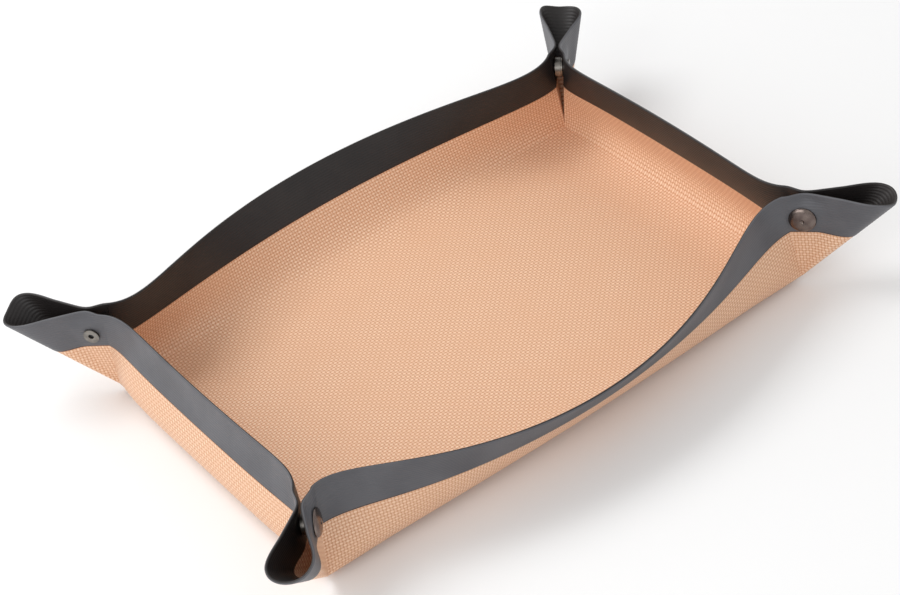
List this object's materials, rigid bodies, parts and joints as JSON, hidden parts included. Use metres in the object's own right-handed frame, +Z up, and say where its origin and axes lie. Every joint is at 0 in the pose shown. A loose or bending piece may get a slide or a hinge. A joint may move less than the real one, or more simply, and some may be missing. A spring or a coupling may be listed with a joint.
{
  "type": "folding dice tray",
  "caption": "Rectangular fold-flat dice tray: a woven mesh mat with a ribbed border, pinched into a tray by press studs at its corners.",
  "frame": {"origin": "centre of the footprint on the table, under the tray's middle", "axes": "+X along the long walls, +Y along the short walls, +Z up from the table"},
  "size_m": [0.3318, 0.2456, 0.0508],
  "materials": {
    "woven_mesh": "basket weave of coated vinyl yarn, salmon over dark orange, slightly glossy",
    "border_tape": "dark grey vinyl tape with fine ribs along the edge, satin",
    "cap_metal": "gunmetal plated brass, polished dome",
    "stud_metal": "dark nickel plated brass",
    "spring_wire": "spring wire"
  },
  "bodies": {
    "base": {"mat_floor": "woven_mesh"},
    "wall_front": {"mat_wall_front": "woven_mesh", "border_wall_front": "border_tape"},
    "wall_back": {"mat_wall_back": "woven_mesh", "border_wall_back": "border_tape"},
    "wall_left": {"mat_wall_left": "woven_mesh", "border_wall_left": "border_tape"},
    "wall_right": {"mat_wall_right": "woven_mesh", "border_wall_right": "border_tape"},
    "ear_front_left_long": {"mat_ear_front_left_long": "woven_mesh", "border_ear_front_left_long": "border_tape", "stud_cap_front_left": "cap_metal", "stud_socket_front_left": "stud_metal", "stud_spring_front_left": "spring_wire"},
    "ear_front_left_short": {"mat_ear_front_left_short": "woven_mesh", "border_ear_front_left_short": "border_tape", "stud_male_front_left": "stud_metal", "stud_post_front_left": "stud_metal"},
    "ear_front_right_long": {"mat_ear_front_right_long": "woven_mesh", "border_ear_front_right_long": "border_tape", "stud_cap_front_right": "cap_metal", "stud_socket_front_right": "stud_metal", "stud_spring_front_right": "spring_wire"},
    "ear_front_right_short": {"mat_ear_front_right_short": "woven_mesh", "border_ear_front_right_short": "border_tape", "stud_male_front_right": "stud_metal", "stud_post_front_right": "stud_metal"},
    "ear_back_left_long": {"mat_ear_back_left_long": "woven_mesh", "border_ear_back_left_long": "border_tape", "stud_cap_back_left": "cap_metal", "stud_socket_back_left": "stud_metal", "stud_spring_back_left": "spring_wire"},
    "ear_back_left_short": {"mat_ear_back_left_short": "woven_mesh", "border_ear_back_left_short": "border_tape", "stud_male_back_left": "stud_metal", "stud_post_back_left": "stud_metal"},
    "ear_back_right_long": {"mat_ear_back_right_long": "woven_mesh", "border_ear_back_right_long": "border_tape", "stud_cap_back_right": "cap_metal", "stud_socket_back_right": "stud_metal", "stud_spring_back_right": "spring_wire"},
    "ear_back_right_short": {"mat_ear_back_right_short": "woven_mesh", "border_ear_back_right_short": "border_tape", "stud_male_back_right": "stud_metal", "stud_post_back_right": "stud_metal"}
  },
  "joints": [
    {"name": "fold_front", "type": "hinge", "parent": "base", "child": "wall_front", "pos_m": [0, -0.087, 0.004], "axis": [1, 0, 0], "range_deg": [0, 92.91]},
    {"name": "fold_back", "type": "hinge", "parent": "base", "child": "wall_back", "pos_m": [0, 0.087, 0.004], "axis": [-1, 0, 0], "range_deg": [0, 92.91]},
    {"name": "fold_left", "type": "hinge", "parent": "base", "child": "wall_left", "pos_m": [-0.1317, 0, 0.004], "axis": [0, -1, 0], "range_deg": [0, 88.49]},
    {"name": "fold_right", "type": "hinge", "parent": "base", "child": "wall_right", "pos_m": [0.1317, 0, 0.004], "axis": [0, 1, 0], "range_deg": [0, 88.49]},
    {"name": "ear_fold_front_left_long", "type": "hinge", "parent": "wall_front", "child": "ear_front_left_long", "pos_m": [-0.1317, -0.087, 0.004], "axis": [-0.1065, -0.0505, -0.993], "range_deg": [0, 44.58]},
    {"name": "ear_fold_front_left_short", "type": "hinge", "parent": "wall_left", "child": "ear_front_left_short", "pos_m": [-0.1317, -0.087, 0.004], "axis": [-0.0261, 0.1672, 0.9856], "range_deg": [0, 37.26]},
    {"name": "ear_fold_front_right_long", "type": "hinge", "parent": "wall_front", "child": "ear_front_right_long", "pos_m": [0.1317, -0.087, 0.004], "axis": [-0.1065, 0.0505, 0.993], "range_deg": [0, 44.58]},
    {"name": "ear_fold_front_right_short", "type": "hinge", "parent": "wall_right", "child": "ear_front_right_short", "pos_m": [0.1317, -0.087, 0.004], "axis": [-0.0261, -0.1672, -0.9856], "range_deg": [0, 37.26]},
    {"name": "ear_fold_back_left_long", "type": "hinge", "parent": "wall_back", "child": "ear_back_left_long", "pos_m": [-0.1317, 0.087, 0.004], "axis": [0.1065, -0.0505, 0.993], "range_deg": [0, 44.58]},
    {"name": "ear_fold_back_left_short", "type": "hinge", "parent": "wall_left", "child": "ear_back_left_short", "pos_m": [-0.1317, 0.087, 0.004], "axis": [0.0261, 0.1672, -0.9856], "range_deg": [0, 37.26]},
    {"name": "ear_fold_back_right_long", "type": "hinge", "parent": "wall_back", "child": "ear_back_right_long", "pos_m": [0.1317, 0.087, 0.004], "axis": [0.1065, 0.0505, -0.993], "range_deg": [0, 44.58]},
    {"name": "ear_fold_back_right_short", "type": "hinge", "parent": "wall_right", "child": "ear_back_right_short", "pos_m": [0.1317, 0.087, 0.004], "axis": [0.0261, -0.1672, 0.9856], "range_deg": [0, 37.26]}
  ],
  "couplings": [
    {"joint": "fold_back", "follows": "fold_front", "ratio": 1},
    {"joint": "fold_left", "follows": "fold_front", "ratio": 0.95232},
    {"joint": "fold_right", "follows": "fold_front", "ratio": 0.95232},
    {"joint": "ear_fold_front_left_long", "follows": "fold_front", "ratio": 0.47971},
    {"joint": "ear_fold_front_left_short", "follows": "fold_front", "ratio": 0.40087},
    {"joint": "ear_fold_front_right_long", "follows": "fold_front", "ratio": 0.47971},
    {"joint": "ear_fold_front_right_short", "follows": "fold_front", "ratio": 0.40087},
    {"joint": "ear_fold_back_left_long", "follows": "fold_front", "ratio": 0.47971},
    {"joint": "ear_fold_back_left_short", "follows": "fold_front", "ratio": 0.40087},
    {"joint": "ear_fold_back_right_long", "follows": "fold_front", "ratio": 0.47971},
    {"joint": "ear_fold_back_right_short", "follows": "fold_front", "ratio": 0.40087}
  ]
}
